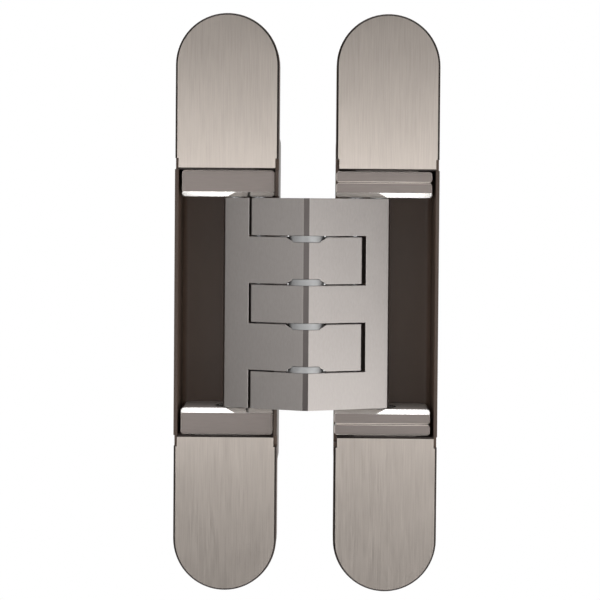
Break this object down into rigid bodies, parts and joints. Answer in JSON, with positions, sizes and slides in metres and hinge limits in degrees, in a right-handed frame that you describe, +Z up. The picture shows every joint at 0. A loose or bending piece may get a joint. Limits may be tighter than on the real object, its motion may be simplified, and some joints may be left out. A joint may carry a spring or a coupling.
{
  "type": "concealed hinge",
  "caption": "Concealed door hinge with two mortised housings, interleaved folding arms, adjusting blocks and clipped covers.",
  "frame": {"origin": "centre of the frame housing, on the shoulder plane behind its end sections, which seats in the mortise", "axes": "+Z up along the hinge, -Y out of the face plates towards the viewer, +X from the frame housing to the door housing with the hinge open at 180 degrees"},
  "size_m": [0.0612, 0.0359, 0.134],
  "materials": {
    "housing": "satin dark brown paint on a zinc casting",
    "cover": "brushed satin nickel",
    "arm": "satin nickel on a zinc casting",
    "block": "satin nickel on a zinc casting",
    "washer": "turned steel washer",
    "bush": "natural nylon",
    "pin": "ground steel",
    "screw": "zinc plated steel"
  },
  "bodies": {
    "frame_housing": {"frame_housing": "housing", "frame_clamp_screw_top": "screw", "frame_clamp_screw_bottom": "screw"},
    "frame_cover_top": {"frame_cover_top": "cover"},
    "frame_cover_bottom": {"frame_cover_bottom": "cover"},
    "frame_carriage": {"frame_block_top": "block", "frame_block_bottom": "block", "frame_pivot_pin": "pin"},
    "three_finger_arm": {"three_finger_arm": "arm", "centre_pin": "pin", "door_slide_pin": "pin", "door_slide_bush_top": "bush", "door_slide_bush_bottom": "bush"},
    "two_finger_arm": {"two_finger_arm": "arm", "centre_washer_1": "washer", "centre_washer_2": "washer", "centre_washer_3": "washer", "centre_washer_4": "washer", "frame_slide_pin": "pin", "frame_slide_bush_top": "bush", "frame_slide_bush_bottom": "bush"},
    "door_carriage": {"door_bearing_plate_top": "block", "door_bearing_plate_bottom": "block", "door_pivot_pin": "pin"},
    "door_guides": {"door_guide_plate_top": "block", "door_guide_plate_bottom": "block"},
    "door_depth_screw_top": {"door_depth_screw_top": "screw", "door_screw_clip_top": "screw"},
    "door_depth_screw_bottom": {"door_depth_screw_bottom": "screw", "door_screw_clip_bottom": "screw"},
    "door_housing": {"door_housing": "housing", "door_clamp_screw_top": "screw", "door_clamp_screw_bottom": "screw"},
    "door_cover_top": {"door_cover_top": "cover"},
    "door_cover_bottom": {"door_cover_bottom": "cover"}
  },
  "joints": [
    {"name": "frame_lateral_adjust", "type": "slide", "parent": "frame_housing", "child": "frame_carriage", "axis": [1, 0, 0], "range_m": [-0.0007, 0.0001]},
    {"name": "hinge_fold", "type": "hinge", "parent": "frame_carriage", "child": "three_finger_arm", "pos_m": [0.00733, -0.0055, 0], "axis": [0, 0, -1], "range_deg": [0, 98.41]},
    {"name": "arm_scissor", "type": "hinge", "parent": "three_finger_arm", "child": "two_finger_arm", "pos_m": [0.0186, -0.0168, 0], "axis": [0, 0, -1], "range_deg": [-17, 0.2]},
    {"name": "door_swing", "type": "hinge", "parent": "two_finger_arm", "child": "door_carriage", "pos_m": [0.02987, -0.0055, 0], "axis": [0, 0, -1], "range_deg": [-0.2, 98.6]},
    {"name": "door_depth_adjust", "type": "slide", "parent": "door_carriage", "child": "door_guides", "axis": [0, 1, 0], "range_m": [-0.001, 0.001]},
    {"name": "door_height_adjust", "type": "slide", "parent": "door_guides", "child": "door_housing", "axis": [0, 0, 1], "range_m": [-0.002, 0.002]},
    {"name": "depth_screw_top_turn", "type": "hinge", "parent": "door_guides", "child": "door_depth_screw_top", "pos_m": [0.0335, 0, 0.0342], "axis": [0, 1, 0], "range_deg": [-721, 721]},
    {"name": "depth_screw_bottom_turn", "type": "hinge", "parent": "door_guides", "child": "door_depth_screw_bottom", "pos_m": [0.0335, 0, -0.0342], "axis": [0, 1, 0], "range_deg": [-721, 721]},
    {"name": "frame_cover_top_snap", "type": "slide", "parent": "frame_housing", "child": "frame_cover_top", "axis": [0, -1, 0], "range_m": [0, 0.0018]},
    {"name": "frame_cover_bottom_snap", "type": "slide", "parent": "frame_housing", "child": "frame_cover_bottom", "axis": [0, -1, 0], "range_m": [0, 0.0018]},
    {"name": "door_cover_top_snap", "type": "slide", "parent": "door_housing", "child": "door_cover_top", "axis": [0, -1, 0], "range_m": [0, 0.0018]},
    {"name": "door_cover_bottom_snap", "type": "slide", "parent": "door_housing", "child": "door_cover_bottom", "axis": [0, -1, 0], "range_m": [0, 0.0018]}
  ],
  "couplings": [
    {"joint": "arm_scissor", "follows": "hinge_fold", "ratio": -0.17086},
    {"joint": "door_swing", "follows": "hinge_fold", "ratio": 1},
    {"joint": "depth_screw_top_turn", "follows": "door_depth_adjust", "rad_per_m": 12566},
    {"joint": "depth_screw_bottom_turn", "follows": "door_depth_adjust", "rad_per_m": 12566}
  ]
}
